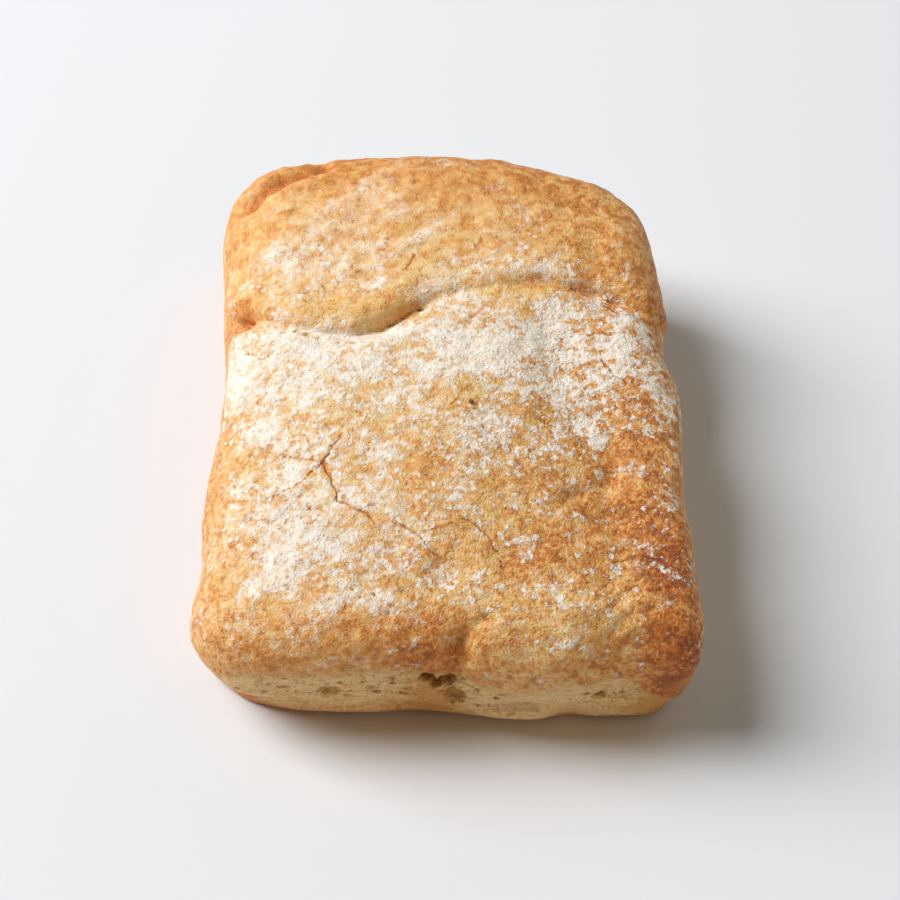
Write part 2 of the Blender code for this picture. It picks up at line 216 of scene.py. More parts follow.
# The raised right edge, (x, reach, height), and what is at its front corner, a flat facet and a knob:
# (x, y, reach across, reach along, height).
RIGHT_EDGE = (44.5, 2.6, 0.9)
CORNER_FLAT = (34.5, -61.0, 8.0, 5.0, -2.0)
CORNER_KNOB = (44.0, -58.0, 4.5, 5.0, 1.3)

# Unevenness of the whole surface, from slow lumps to the dry grain of the crust: (size, height, seed).
LUMPS = ((26.0, 1.1, 11), (11.0, 0.55, 23), (5.0, 0.26, 37), (2.5, 0.17, 51), (1.3, 0.12, 53))

# The streaks in which the dough was stretched, and how high flour heaps up.
STREAK_TURN = 24.0
STREAK_SIZE = 1.5
STREAK_HEIGHT = 0.16
FLOUR_HEIGHT = 0.2

# The lower rim, which wanders in and out: its height, its reach up and down, and how far it wanders.
RIM_HEIGHT = 1.5
RIM_REACH = 2.5
RIM_WANDER = 0.7

# Wrinkles where the crust slumped to the front right corner: (x, y, reach, spacing, turn in degrees, height).
WRINKLES = (36.5, -52.0, 10.0, 4.2, 22.0, 0.28)

# The lower edge of the front crust, from left to right: (x, height). The crumb is bare below it.
CRUST_EDGE = (
    (-44, 17.0),
    (-38, 22.0),
    (-30, 23.0),
    (-15, 23.5),
    (-6, 24.2),
    (0, 22.5),
    (5, 20.0),
    (9, 18.5),
    (17, 18.5),
    (24, 22.0),
    (30, 22.0),
    (36.6, 19.7),
    (41, 14.0),
    (45, 8.0),
)
CRUST_STEP = 0.15

# On the right wall the crumb is bare in part, below one height.
SIDE_CRUST_EDGE = 19.0
SIDE_CRUMB_SHARE = 0.7

# Small pores on the walls with bare crumb: how many on each, smallest and largest reach, and on which walls:
# (wall, axis along it, from, to, highest).
CRUMB_PORE_COUNT = 330
CRUMB_PORE_REACH = (0.14, 0.62)
CRUMB_WALLS = (("front", 0, -42, 42, 23), ("right", 1, -55, 30, 19))

# Drifts of flour on the crust: (x, y, reach across, reach along, share of the crust that it covers). Where
# the share is below nothing, flour was rubbed off.
FLOUR_DRIFTS = (
    (-2, 3, 75, 12.5, 0.66),
    (22, 11.5, 24, 6, 0.25),
    (-31, -22, 13, 17, 0.52),
    (-48, -16, 7, 30, -0.30),
    (-16, -26, 12, 12, 0.30),
    (-28, -43, 17, 11, 0.46),
    (-8, -44, 9, 9, 0.34),
    (14, -17, 16, 10, 0.34),
    (34, -14, 10, 8, 0.20),
    (8, -52, 12, 6, 0.22),
    (-30, 27, 16, 9, 0.46),
    (-32, 18, 12, 5, 0.22),
    (5, 20, 9, 5, 0.24),
    (2, 28, 12, 7, 0.30),
    (22, 25, 14, 8, 0.34),
    (-22, 39, 16, 8, 0.22),
    (20, 39, 20, 8, 0.08),
    (30, -42, 16, 14, 0.16),
    (6, -31, 13, 11, 0.14),
    (-4, -14, 10, 9, 0.10),
    (26, -55, 12, 6, 0.24),
    (-14, -54, 13, 5, 0.24),
    (-28, 7, 16, 4, 0.30),
    (-11, 8.5, 7, 3, 0.25),
    (-25, 13.5, 9, 3.2, -0.42),
    (-17, 14.5, 7, 3.0, -0.36),
    (-42.5, 17.6, 2.6, 3.2, -0.60),
    (14, 20, 9, 2.6, -0.30),
    (44, -22, 3, 14, 0.22),
    (-44, 5, 5, 7, 0.38),
)

# How a drift becomes cover: flour lies where its share passes the balance, with a ragged edge from noise.
FLOUR_BALANCE = 0.42
FLOUR_GAIN = 0.75
FLOUR_RAGGED = 0.24
FLOUR_PATCH = 4.5

# Where the crust is baked darker, or stays paler if the amount is below nothing: (x, y, reach across, reach
# along, amount). Some of these are painted shade rather than baking, as marked beside them.
BAKE_AND_SHADE = (
    (0, 54, 60, 11, 0.22),
    (-22, -60, 26, 8, 0.12),
    (30, -34, 18, 24, 0.10),
    # Partly baking, partly painted shade: the right edge turns away from the lamp.
    (40.5, -40, 5, 22, 0.28),
    (50, -34, 4, 30, -0.30),
    (46, 20, 6, 22, 0.20),
    (-47, -6, 5, 60, 0.10),
    (44, -60, 6, 6, 0.42),
    # Partly baking, partly painted shade at the front right corner, which is turned from the lamp.
    (44, -48, 7, 11, 0.30),
    # Partly painted shade on the front crumb at the right.
    (31, -64, 10, 5, 0.16),
    (26, -58, 14, 8, -0.20),
    (7, -47, 6, 10, -0.06),
    (19, -47, 9, 7, 0.12),
    # Partly painted shade: the front crumb browned round its large pores.
    (-3, -62, 6, 5, 0.34),
    (-16, -8, 18, 8, -0.08),
    (-20, 12, 8, 4, -0.18),
    (12, 20, 10, 4, -0.16),
    # Painted shade: the right half darker, as it is turned from the lamp.
    (36, 4, 18, 50, 0.12),
    # Partly painted shade in the dimple at the back left.
    (-42.4, 17.8, 2.2, 2.8, 0.34),
)

# The crust is darker and less floured beside a crack, within so many crack widths, and in the groove inside
# the lip, where the darker colour is partly painted shade. The loaf's underside and the foot of its walls, up
# to a height, are baked a little more too.
CRACK_FRINGE = {"reach": 3.5, "bake_and_shade": 0.2, "flour": 0.22}
LIP_GROOVE = {"reach": 1.7, "bake_and_shade": 0.24, "flour": 0.3}
UNDER_BAKE = 0.1
FOOT_BAKE = 0.16
FOOT_BAKE_HEIGHT = 2.2


def noise(points, size, seed):
    """Smooth noise from -1 to 1: a random value at each corner of cubes of this size, blended inside them."""
    scaled = points / size
    cell = np.floor(scaled).astype(np.int64)
    part = scaled - cell
    part = part * part * (3 - 2 * part)
    total = np.zeros(len(points))
    for corner in itertools.product((0, 1), repeat=3):
        mixed = (cell + corner) @ np.array((374761393, 668265263, 974634777)) + seed * 1442695041
        mixed = mixed & 0xFFFFFFFF
        mixed = ((mixed ^ (mixed >> 13)) * 1274126177) & 0xFFFFFFFF
        value = (mixed ^ (mixed >> 16)) / 2**31 - 1
        total += value * np.prod(np.where(corner, part, 1 - part), axis=1)
    return total


def turned(points, degrees):
    """The points turned about an upright axis."""
    angle = np.radians(degrees)
    x, y, z = points.T
    return np.stack([x * np.cos(angle) + y * np.sin(angle), y * np.cos(angle) - x * np.sin(angle), z], axis=1)


def ragged_noise(points, size, layers, seed):
    """The sum of noises, each of half the last one's size and 0.65 of its strength, turned between them so
    that no grid shows."""
    total = np.zeros(len(points))
    for layer in range(layers):
        tipped = turned(points, 37 * layer + 20)[:, [2, 0, 1]]
        total += 0.65**layer * noise(turned(tipped, 50), size / 2**layer, seed + layer)
    return total


def bell(distance):
    """1 at no distance, falling smoothly to nothing at about 2."""
    return np.exp(-distance * distance)


def ramp(value, low, high):
    """0 below low, 1 above high, smooth between."""
    share = np.clip((value - low) / (high - low), 0, 1)
    return share * share * (3 - 2 * share)


def swell(along, swells):
    """The sum of bells along a wall, each with its own middle, reach and amount."""
    return sum(amount * bell((along - middle) / reach) for middle, reach, amount in swells)


def patches(points, spots):
    """The sum of oval bells in plan, each with its own middle, two reaches and amount."""
    x, y = points[:, 0], points[:, 1]
    return sum(
        amount * bell(np.hypot((x - middle_x) / across, (y - middle_y) / along))
        for middle_x, middle_y, across, along, amount in spots
    )


def facing(out):
    """How much the surface looks to the left, right, back and front, each from 0 to 1."""
    left, right = np.clip(-out[:, 0], 0, 1), np.clip(out[:, 0], 0, 1)
    front, back = np.clip(-out[:, 1], 0, 1), np.clip(out[:, 1], 0, 1)
    return {"left": left, "right": right, "back": back, "front": front}


def rounded_box(lattice):
    """Points of the box moved onto its rounded form, and the direction out of it at each.

    Every point has a nearest point in a smaller inner box. It moves to one rounding radius from there."""
    inner = BOX / 2 - ROUNDING
    core = np.clip(lattice, -inner, inner)
    share = np.tan(np.pi / 4 * (lattice - core) / ROUNDING)
    out = share / np.linalg.norm(share, axis=1, keepdims=True)
    return core + ROUNDING * out, out


def base_form(lattice):
    """The smooth loaf, before its relief, and the direction out of it: the rounded box with its base spread,
    its walls swollen by bells, its shoulders and corners filled out and its crown raised by a parabola."""
    points, out = rounded_box(lattice)
    x, y, z = points.T
    level = np.hypot(out[:, 0], out[:, 1])

    half = BOX / 2
    for axis in (0, 1):
        spread = (half[axis] - BASE_INSET) / (half[axis] - ROUNDING) - 1
        points[:, axis] *= np.where(out[:, 2] < 0, 1 + spread * (1 - level), 1)

    near_side, near_end = (x / half[0]) ** 2, (y / half[1]) ** 2
    left, right = swell(y, LEFT_SWELLS), swell(y, RIGHT_SWELLS)
    back, front = swell(x, BACK_SWELLS), swell(x, FRONT_SWELLS)
    x_push = near_side * np.where(x > 0, right, -left)
    y_push = near_end * np.where(y > 0, back, -front)

    looks = facing(out)
    fill = sum(amount * looks[side] ** 2 for side, amount in SHOULDER_FILL.items())
    squarer = 4 * fill * np.clip(out[:, 2], 0, 1) ** 2
    for (side, end), amount in CORNER_FILL.items():
        squarer += amount * (2 * looks[side] * looks[end]) ** 2
    points += out * squarer[:, None]

    crown_x, crown_y = CROWN_REACH
    rise = CROWN * (1 - (x / crown_x) ** 2) * (1 - (y / crown_y) ** 2) + patches(points, LOBES)
    upper = ramp(z, -ROUNDING * 0.2, ROUNDING)

    points += np.stack([x_push, y_push, rise * upper + ROUNDING], axis=1)
    return points, out


def past_fold(points):
    """How far each point lies behind the fold's line, which wanders a little."""
    along, line, _ = np.array(FOLD).T
    wander = FOLD_WANDER * noise(points, 6.0, 5)
    return points[:, 1] + wander - np.interp(points[:, 0], along, line)


def fold_relief(points, out):
    """How deep the fold lies below the crown, a bell that is wide in front and tight behind, and how far its
    far lip leans over it."""
    along, _, depth = np.array(FOLD).T
    past = past_fold(points)
    deep = np.interp(points[:, 0], along, depth) * ramp(out[:, 2], 0.15, 0.8)
    reach = np.where(past < 0, FOLD_NEAR_REACH, FOLD_FAR_REACH)
    sunk = deep * bell(past / reach)
    bulge, lean = (
        share * deep * bell((past - behind) / wide) for share, behind, wide in (FOLD_BULGE, FOLD_LIP)
    )
    return bulge - sunk, lean


def dent_relief(points, out):
    """Finger dents and hollows in the top, each a turned oval bell."""
    total = np.zeros(len(points))
    for x, y, across, along, turn, depth in DENTS:
        angle = np.radians(turn)
        side, ahead = points[:, 0] - x, points[:, 1] - y
        over = side * np.cos(angle) - ahead * np.sin(angle)
        down = side * np.sin(angle) + ahead * np.cos(angle)
        total -= depth * bell(np.hypot(over / across, down / along))
    return total * ramp(out[:, 2], 0.1, 0.7)


def distance_to_chain(plan, chain):
    """Distance in plan from each point to a chain of straight pieces, and how far along the chain the nearest
    place is, from 0 to 1."""
    best, share = np.full(len(plan), 1e9), np.zeros(len(plan))
    pieces = list(zip(chain[:-1], chain[1:]))
    for index, (start, end) in enumerate(pieces):
        start, end = np.array(start), np.array(end)
        step = end - start
        foot = np.clip((plan - start) @ step / (step @ step), 0, 1)
        gap = np.linalg.norm(plan - start - foot[:, None] * step, axis=1)
        closer = gap < best
        best = np.where(closer, gap, best)
        share = np.where(closer, (index + foot) / len(pieces), share)
    return best, share


def crack_distance(points, out):
    """Distance to the nearest crack, in crack widths; far on the sides and under the loaf."""
    jag = CRACK_JAG * np.stack([noise(points, 1.6, 71), noise(points, 1.6, 72)], axis=1)
    plan = points[:, :2] + jag
    nearest = np.full(len(points), 1e9)
    for widest, chain in CRACKS:
        gap, share = distance_to_chain(plan, chain)
        nearest = np.minimum(nearest, gap / (widest * (1 - CRACK_TAPER * share)))
    return np.where(out[:, 2] > 0.3, nearest, 1e9)


def wall_distance(points, out, pore):
    """Distance from a pore's middle along its wall, in the pore's own reaches."""
    wall, along, height, reach_along, reach_up, _ = pore
    axis = 0 if wall in ("left", "right") else 1
    offset = (points[:, 1 - axis] - along) / reach_along
    rise = (points[:, 2] - height) / reach_up
    return np.where(facing(out)[wall] > 0.3, np.hypot(offset, rise), 1e9)


def pore_relief(points, out):
    """Open pores of the crumb and pinholes in the crust, with steep sides and a flat bottom."""
    total = np.zeros(len(points))
    rough = 0.25 * noise(points, 1.8, 91) + 0.22 * noise(points, 0.7, 93)
    for pore in PORES:
        total = np.minimum(total, -pore[-1] * ramp(-wall_distance(points, out, pore) - rough, -1.25, -0.6))
    for x, y, across, along, turn, depth in PINHOLES:
        offset = turned(points - (x, y, 0), turn)
        gap = np.hypot(offset[:, 0] / across, offset[:, 1] / along) + 2 * rough
        total = np.minimum(total, -depth * ramp(-gap, -1.2, -0.4) * (out[:, 2] > 0.2))
    return total


def lip_groove(points, out, reach):
    """The groove inside the lip: 1 along its line on the top, falling off by a bell of the given reach."""
    return bell(distance_to_chain(points[:, :2], LIP)[0] / reach) * ramp(out[:, 2], 0.05, 0.5)


def edge_relief(points, out):
    """The wrinkled right edge, the flat facet at its front corner and the lip round the back left corner."""
    x, y, z = points.T
    edge_x, edge_reach, edge_height = RIGHT_EDGE
    right_edge = bell((x - edge_x) / edge_reach) * ramp(-y, -5, 25) * ramp(out[:, 2], 0.0, 0.5)
    wrinkled = edge_height + 0.5 * noise(points * (1, 0.5, 1), 5.0, 41)
    corner_flat = patches(points, (CORNER_FLAT,)) * ramp(z, 8, 20)
    corner_knob = patches(points, (CORNER_KNOB,)) * ramp(z, 5, 14)
    groove = LIP_DEPTH * lip_groove(points, out, LIP_REACH)
    return right_edge * wrinkled + corner_flat + corner_knob - groove


def hem_relief(points, out):
    """The uneven lower rim: the foot of the wall tucks in here and there, and lifts off the base."""
    x, y, z = points.T
    looks = facing(out)
    tuck = (
        swell(x, FRONT_TUCKS) * looks["front"]
        + swell(y, LEFT_TUCKS) * looks["left"]
        + swell(y, RIGHT_TUCKS) * looks["right"]
    )
    rim = bell((z - RIM_HEIGHT) / RIM_REACH) * ramp(np.hypot(out[:, 0], out[:, 1]), 0.15, 0.6)
    return rim * (RIM_WANDER * noise(points, 9.0, 61) - 0.3) - tuck * ramp(-z, -TUCK_HEIGHT, -2.0)


def bare_crumb(points, out):
    """Where the crumb is bare, from 0 to 1: below the front crust's edge, which wavers, and in part on the
    lower right wall. It ends just above the base."""
    x, y, z = points.T
    looks = facing(out)
    along, edge = np.array(CRUST_EDGE).T
    wavy = np.interp(x, along, edge) + 1.3 * noise(points, 3.5, 101) + 0.7 * noise(points, 1.3, 103)
    front = ramp(wavy - z, -1.4, 1.6) * ramp(looks["front"], 0.2, 0.5)
    side_edge = SIDE_CRUST_EDGE + 2.0 * noise(points, 7.0, 107)
    right = ramp(side_edge - z, -1.0, 3.0) * ramp(looks["right"], 0.4, 0.8) * ramp(45 - y, 0, 20)
    return np.maximum(front, right * SIDE_CRUMB_SHARE) * ramp(z + 0.5 * noise(points, 1.5, 113), 0.3, 1.9)


def crumb_relief(points, out, bare):
    """The step down from the crust to the crumb, and many small oval pores in the crumb, at random places on
    the front and right walls. A pore is a round dish drawn out along the wall, its edge bent by noise."""
    draw = np.random.default_rng(2024)
    ragged = 0.5 * noise(points, 0.8, 109)
    total = -CRUST_STEP * bare
    for wall, axis, low, high, top in CRUMB_WALLS:
        near = np.nonzero((facing(out)[wall] > 0.4) & (bare > 0.05))[0]
        along = draw.uniform(low, high, CRUMB_PORE_COUNT)
        height = draw.uniform(3.5, top, CRUMB_PORE_COUNT)
        small, large = CRUMB_PORE_REACH
        reach = small * (large / small) ** (draw.random(CRUMB_PORE_COUNT) ** 2.5)
        wide = reach * draw.uniform(1.0, 1.8, CRUMB_PORE_COUNT)
        offset = (points[near, axis][:, None] - along) / wide
        rise = (points[near, 2][:, None] - height) / reach
        dish = np.clip(1 - offset**2 - rise**2 - ragged[near, None], 0, 1) ** 0.5 * reach * 0.9
        total[near] -= dish.max(axis=1) * bare[near]
    return total


def flour_cover(points, out):
    """The sum of the flour's drifts, less on steep parts, and how thick the flour lies: the drifts less the
    balance, plus noise over three sizes, drawn out a little along the streaks."""
    drift = patches(points, FLOUR_DRIFTS) * ramp(out[:, 2], 0.1, 0.7)
    along_streaks = turned(points, STREAK_TURN) * (0.8, 1.0, 1.0)
    ragged = FLOUR_RAGGED * ragged_noise(along_streaks, FLOUR_PATCH, 3, 131)
    return drift, FLOUR_GAIN * (drift - FLOUR_BALANCE) + ragged


def streak_relief(points, out):
    """Low ridges in the direction in which the dough was stretched, from noise drawn out four times."""
    drawn = turned(points, STREAK_TURN) * (0.28, 1.0, 1.0)
    return STREAK_HEIGHT * noise(drawn, STREAK_SIZE, 163) * ramp(out[:, 2], 0.3, 0.8)


def wrinkle_relief(points, out):
    """Slanting wrinkles at the front right corner: a cosine across them, bent by noise, within a round
    bell."""
    middle_x, middle_y, reach, spacing, turn, height = WRINKLES
    away = np.hypot(points[:, 0] - middle_x, points[:, 1] - middle_y) / reach
    across = turned(points, turn)[:, 1] + 2.6 * noise(points, 7.0, 167)
    return height * bell(away) * np.cos(2 * np.pi * across / spacing) * ramp(out[:, 2], 0.0, 0.5)


def foot_pull(points):
    """How the foot of a corner moves: level and inwards, by a round bell in plan that fades upwards."""
    x, y, z = points.T
    moved = np.zeros_like(points)
    for middle_x, middle_y, reach, amount in FOOT_PULLS:
        near = bell(np.hypot(x - middle_x, y - middle_y) / reach) * ramp(-z, -FOOT_HEIGHT, 0)
        inwards = -np.array((middle_x, middle_y, 0)) / np.hypot(middle_x, middle_y)
        moved += amount * near[:, None] * inwards
    return moved


def base_height(lattice):
    """The least height of the surface: nothing in the middle, and the curl up towards the rim."""
    across, along = np.abs(lattice[:, :2] / (BOX[:2] / 2 - ROUNDING)).T
    beyond_side = across - STAND_SHARE - STAND_BOW * along**2
    beyond_end = along - STAND_SHARE - STAND_BOW * across**2
    beyond = np.clip(np.maximum(beyond_side, beyond_end), 0, None)
    return np.minimum(BASE_CURL * np.sqrt(beyond), MOST_CURL)


def loaf_form(lattice):
    """The finished surface for points of the plain box, and what its crust needs to know at each point.

    The smooth loaf moves out by the sum of its relief. Then come the pulled corner and the lip's lean, and
    nothing lies lower than the base. The crust is told of its flour, of its baking with some painted shade,
    of bare crumb, where the back is smoother, where the right is more clotted, and where shade is painted
    into cracks, pores and the crumb's dips."""
    points, out = base_form(lattice)
    x, y, z = points.T
    upper = ramp(out[:, 2], -0.75, -0.3)
    lumps = sum(height * noise(points, size, seed) for size, height, seed in LUMPS)
    sunk, lean = fold_relief(points, out)
    from_crack = crack_distance(points, out)
    crack = CRACK_DEPTH * ramp(-from_crack, -1.0, -0.1)
    pores = pore_relief(points, out)
    bare = bare_crumb(points, out)
    crumb = crumb_relief(points, out, bare)

    fringe = bell(from_crack / CRACK_FRINGE["reach"])
    groove = lip_groove(points, out, LIP_GROOVE["reach"])
    # The patches darken the crust for its baking, and some of them paint shade, as marked in their table.
    bake_and_shade = patches(points, BAKE_AND_SHADE) + UNDER_BAKE * ramp(-out[:, 2], -0.2, 0.2)
    # In the lip's groove the darker colour is partly painted shade.
    bake_and_shade += CRACK_FRINGE["bake_and_shade"] * fringe + LIP_GROOVE["bake_and_shade"] * groove
    bake_and_shade += FOOT_BAKE * ramp(FOOT_BAKE_HEIGHT - z, 0.0, 1.6)
    dust, flour = flour_cover(points, out)
    flour -= CRACK_FRINGE["flour"] * fringe + LIP_GROOVE["flour"] * groove
    heaped = FLOUR_HEIGHT * ramp(flour, -0.15, 0.45) * (1 + 0.6 * noise(points, 1.1, 157))

    height = upper * lumps + sunk + dent_relief(points, out) + pores + heaped
    height += streak_relief(points, out) + wrinkle_relief(points, out)
    height += edge_relief(points, out) + hem_relief(points, out) + crumb - crack
    moved = points + out * height[:, None] + foot_pull(points) + CENTRING
    moved[:, 1] -= lean
    moved[:, 2] = np.maximum(moved[:, 2], base_height(lattice))

    # Painted shade: cracks, pores and the dips of the crumb get a dark brown, where shade falls in them.
    hollow_shade = crack / CRACK_DEPTH + ramp(-pores, 0.4, 1.3) + ramp(-crumb - CRUST_STEP, 0.1, 0.6)
    seen = {
        "dust": dust,
        "flour": flour,
        "bake_and_shade": bake_and_shade,
        "crumb": bare,
        "smooth": ramp(y, 0, 42),
        "clots": ramp(x - 0.25 * y, -6, 26),
        "hollow_shade": np.clip(hollow_shade, 0, 1),
    }
    return moved, seen


def divided_box():
    """The plain box as a grid of quads on each of its six faces, with the points along its edges shared."""
    corners, quads = [], []
    for axis, side in itertools.product(range(3), (-1, 1)):
        across, along = (axis + 1) % 3, (axis + 2) % 3
        steps = [round(BOX[other] / QUAD) for other in (across, along)]
        u, v = np.meshgrid(*(np.linspace(-0.5, 0.5, count + 1) for count in steps), indexing="ij")
        sheet = np.empty(u.shape + (3,))
        sheet[..., axis] = side * BOX[axis] / 2
        sheet[..., across] = u * BOX[across]
        sheet[..., along] = v * BOX[along]
        index = np.arange(u.size).reshape(u.shape) + sum(len(part) for part in corners)
        ring = [index[:-1, :-1], index[1:, :-1], index[1:, 1:], index[:-1, 1:]]
        quads.append(np.stack(ring[::side], axis=-1).reshape(-1, 4))
        corners.append(sheet.reshape(-1, 3))
    corners, shared = np.unique(np.concatenate(corners).round(5), axis=0, return_inverse=True)
    return corners, shared.ravel()[np.concatenate(quads)]


def quartered(mesh, wanted):
    """Divides in four the faces whose middles and sizes pass the test, so that narrow relief keeps its
    shape."""
    count = len(mesh.polygons)
    middles, areas = np.empty(count * 3), np.empty(count)
    mesh.polygons.foreach_get("center", middles)
    mesh.polygons.foreach_get("area", areas)
    points, out = base_form(middles.reshape(-1, 3))
    chosen = np.nonzero(wanted(points, out, np.sqrt(areas)))[0]
    work = bmesh.new()
    work.from_mesh(mesh)
    work.faces.ensure_lookup_table()
    edges = {edge for index in chosen for edge in work.faces[index].edges}
    bmesh.ops.subdivide_edges(work, edges=list(edges), cuts=1, use_grid_fill=True)
    work.to_mesh(mesh)
    work.free()


def all_but_base(points, out, size):
    """Everything that doesn't look straight down."""
    return out[:, 2] > -0.75


def top_and_front(points, out, size):
    """The top and the front wall, which show the crust's relief."""
    return (out[:, 2] > 0.55) | ((facing(out)["front"] > 0.35) & (points[:, 2] > 1.5))


def crumb_and_cracks(points, out, size):
    """The bare crumb of the front, the wide surroundings of each crack, and the pores and pinholes."""
    near = (bare_crumb(points, out) > 0.1) & (facing(out)["front"] > 0.6) & (points[:, 2] > 3.5)
    near |= crack_distance(points, out) * 0.25 < 0.2 + size
    for pore in PORES:
        near |= wall_distance(points, out, pore) < 1.4 + size / 2
    for x, y, across, *_ in PINHOLES:
        near |= (np.hypot(points[:, 0] - x, points[:, 1] - y) < across * 1.2 + size) & (out[:, 2] > 0.2)
    return near


def beside_cracks(points, out, size):
    """The near surroundings of each crack."""
    return crack_distance(points, out) * 0.25 < 0.1 + size


corners, quads = divided_box()
loaf_mesh = bpy.data.meshes.new("ciabatta_loaf")
loaf_mesh.from_pydata(corners, [], quads)
for wanted in (all_but_base, top_and_front, crumb_and_cracks, beside_cracks):
    quartered(loaf_mesh, wanted)

lattice = np.empty(len(loaf_mesh.vertices) * 3)
loaf_mesh.vertices.foreach_get("co", lattice)
surface, seen = loaf_form(lattice.reshape(-1, 3))

# The fine surface stays this far inside the sides of the solid's box.
INSIDE_CAD = 0.02
least, most = np.array(cad_box) / MM + np.array(((INSIDE_CAD,), (-INSIDE_CAD,))) * (1, 1, 0)
surface = np.clip(surface, least, most)
loaf_mesh.vertices.foreach_set("co", (surface * MM).astype(np.float32).ravel())
for name, values in seen.items():
    loaf_mesh.attributes.new(name, "FLOAT", "POINT").data.foreach_set("value", values.astype(np.float32))
loaf_mesh.update()
loaf_mesh.shade_smooth()
loaf = bpy.data.objects.new("ciabatta_loaf", loaf_mesh)
bpy.context.scene.collection.objects.link(loaf)
loaf_mesh.calc_loop_triangles()


def place(tree, kind, sockets, **settings):
    """Adds a node with its settings, and gives each named socket a value or a link."""
    made = tree.nodes.new(kind)
    for name, value in settings.items():
        setattr(made, name, value)
    for name, value in sockets.items():
        if isinstance(value, bpy.types.NodeSocket):
            tree.links.new(value, made.inputs[name])
        else:
            made.inputs[name].default_value = value
    return made


def maths(tree, operation, first, second):
    """The result of one operation on two values."""
    return place(tree, "ShaderNodeMath", {0: first, 1: second}, operation=operation).outputs[0]


def vector_maths(tree, operation, sockets):
    """The result of one operation on vectors."""
    return place(tree, "ShaderNodeVectorMath", sockets, operation=operation).outputs[0]


def grain(tree, position, size, detail=3.0, rough=0.55, distortion=0.0):
    """Noise of about this size in the position's unit, spread to fill 0 to 1."""
    sockets = {"Vector": position, "Scale": 1 / size, "Detail": detail, "Roughness": rough}
    sockets["Distortion"] = distortion
    made = place(tree, "ShaderNodeTexNoise", sockets)
    spread = {"Value": made.outputs["Fac"], "From Min": 0.28, "From Max": 0.72}
    return place(tree, "ShaderNodeMapRange", spread, clamp=True).outputs["Result"]


def between(tree, value, low, high):
    """0 below low, 1 above high, smooth between."""
    sockets = {"Value": value, "From Min": low, "From Max": high}
    return place(tree, "ShaderNodeMapRange", sockets, interpolation_type="SMOOTHSTEP").outputs["Result"]


def blend(tree, share, first, second):
    """A mix of two colours."""
    made = tree.nodes.new("ShaderNodeMix")
    made.data_type = "RGBA"
    for socket, value in ((made.inputs[0], share), (made.inputs[6], first), (made.inputs[7], second)):
        if isinstance(value, bpy.types.NodeSocket):
            tree.links.new(value, socket)
        else:
            socket.default_value = value
    return made.outputs[2]


def total(tree, *shares):
    """The sum of pairs of a value and its weight."""
    summed = 0.0
    for value, weight in shares:
        summed = maths(tree, "ADD", maths(tree, "MULTIPLY", value, weight), summed)
    return summed


def new_group(name, inputs, outputs):
    """An empty node group with its named inputs and outputs, each given by its kind of socket."""
    group = bpy.data.node_groups.new(name, "ShaderNodeTree")
    for label, kind in inputs.items():
        group.interface.new_socket(label, in_out="INPUT", socket_type=kind)
    for label, kind in outputs.items():
        group.interface.new_socket(label, in_out="OUTPUT", socket_type=kind)
    return group, group.nodes.new("NodeGroupInput").outputs, group.nodes.new("NodeGroupOutput").inputs


# Flour where it lies thick, and where the crust shows through it.
FLOUR_WHITE = (0.93, 0.87, 0.79, 1.0)
FLOUR_CREAM = (0.90, 0.76, 0.57, 1.0)


def flour_powder():
    """Dry flour: nearly white, more cream where it is thin. Soft lumps and single grains, two noises, give
    both the colour and the height."""
    group, given, made = new_group(
        "flour_powder",
        {"Position": "NodeSocketVector", "Lump Size": "NodeSocketFloat"},
        {"Color": "NodeSocketColor", "Height": "NodeSocketFloat"},
    )
    scaled = vector_maths(group, "DIVIDE", {0: given["Position"], 1: given["Lump Size"]})
    lumps = grain(group, scaled, 1.0, detail=3.0, rough=0.6)
    grains = grain(group, scaled, 0.3, detail=1.0)
    height = total(group, (lumps, 0.6), (grains, 0.4))
    group.links.new(height, made["Height"])
    group.links.new(blend(group, between(group, height, 0.15, 0.65), FLOUR_CREAM, FLOUR_WHITE), made["Color"])
    return group


def flecks():
    """Small irregular flecks: cells of about the given size, at positions bent by noise. A cell has a fleck
    if its random value is below the share, and the fleck fades from the cell's middle."""
    group, given, made = new_group(
        "flecks",
        {"Position": "NodeSocketVector", "Size": "NodeSocketFloat", "Share": "NodeSocketFloat"},
        {"Mask": "NodeSocketFloat"},
    )
    scaled = vector_maths(group, "DIVIDE", {0: given["Position"], 1: given["Size"]})
    bend = place(group, "ShaderNodeTexNoise", {"Vector": scaled, "Scale": 1.7, "Detail": 1.0})
    shift = vector_maths(group, "SCALE", {0: bend.outputs["Color"], "Scale": 1.1})
    moved = vector_maths(group, "ADD", {0: scaled, 1: shift})
    cells = place(group, "ShaderNodeTexVoronoi", {"Vector": moved, "Scale": 1.0})
    drawn = place(group, "ShaderNodeSeparateXYZ", {"Vector": cells.outputs["Color"]}).outputs[0]
    kept = maths(group, "LESS_THAN", drawn, given["Share"])
    shape = maths(group, "SUBTRACT", 1.0, between(group, cells.outputs["Distance"], 0.2, 0.62))
    group.links.new(maths(group, "MULTIPLY", kept, shape), made["Mask"])
    return group


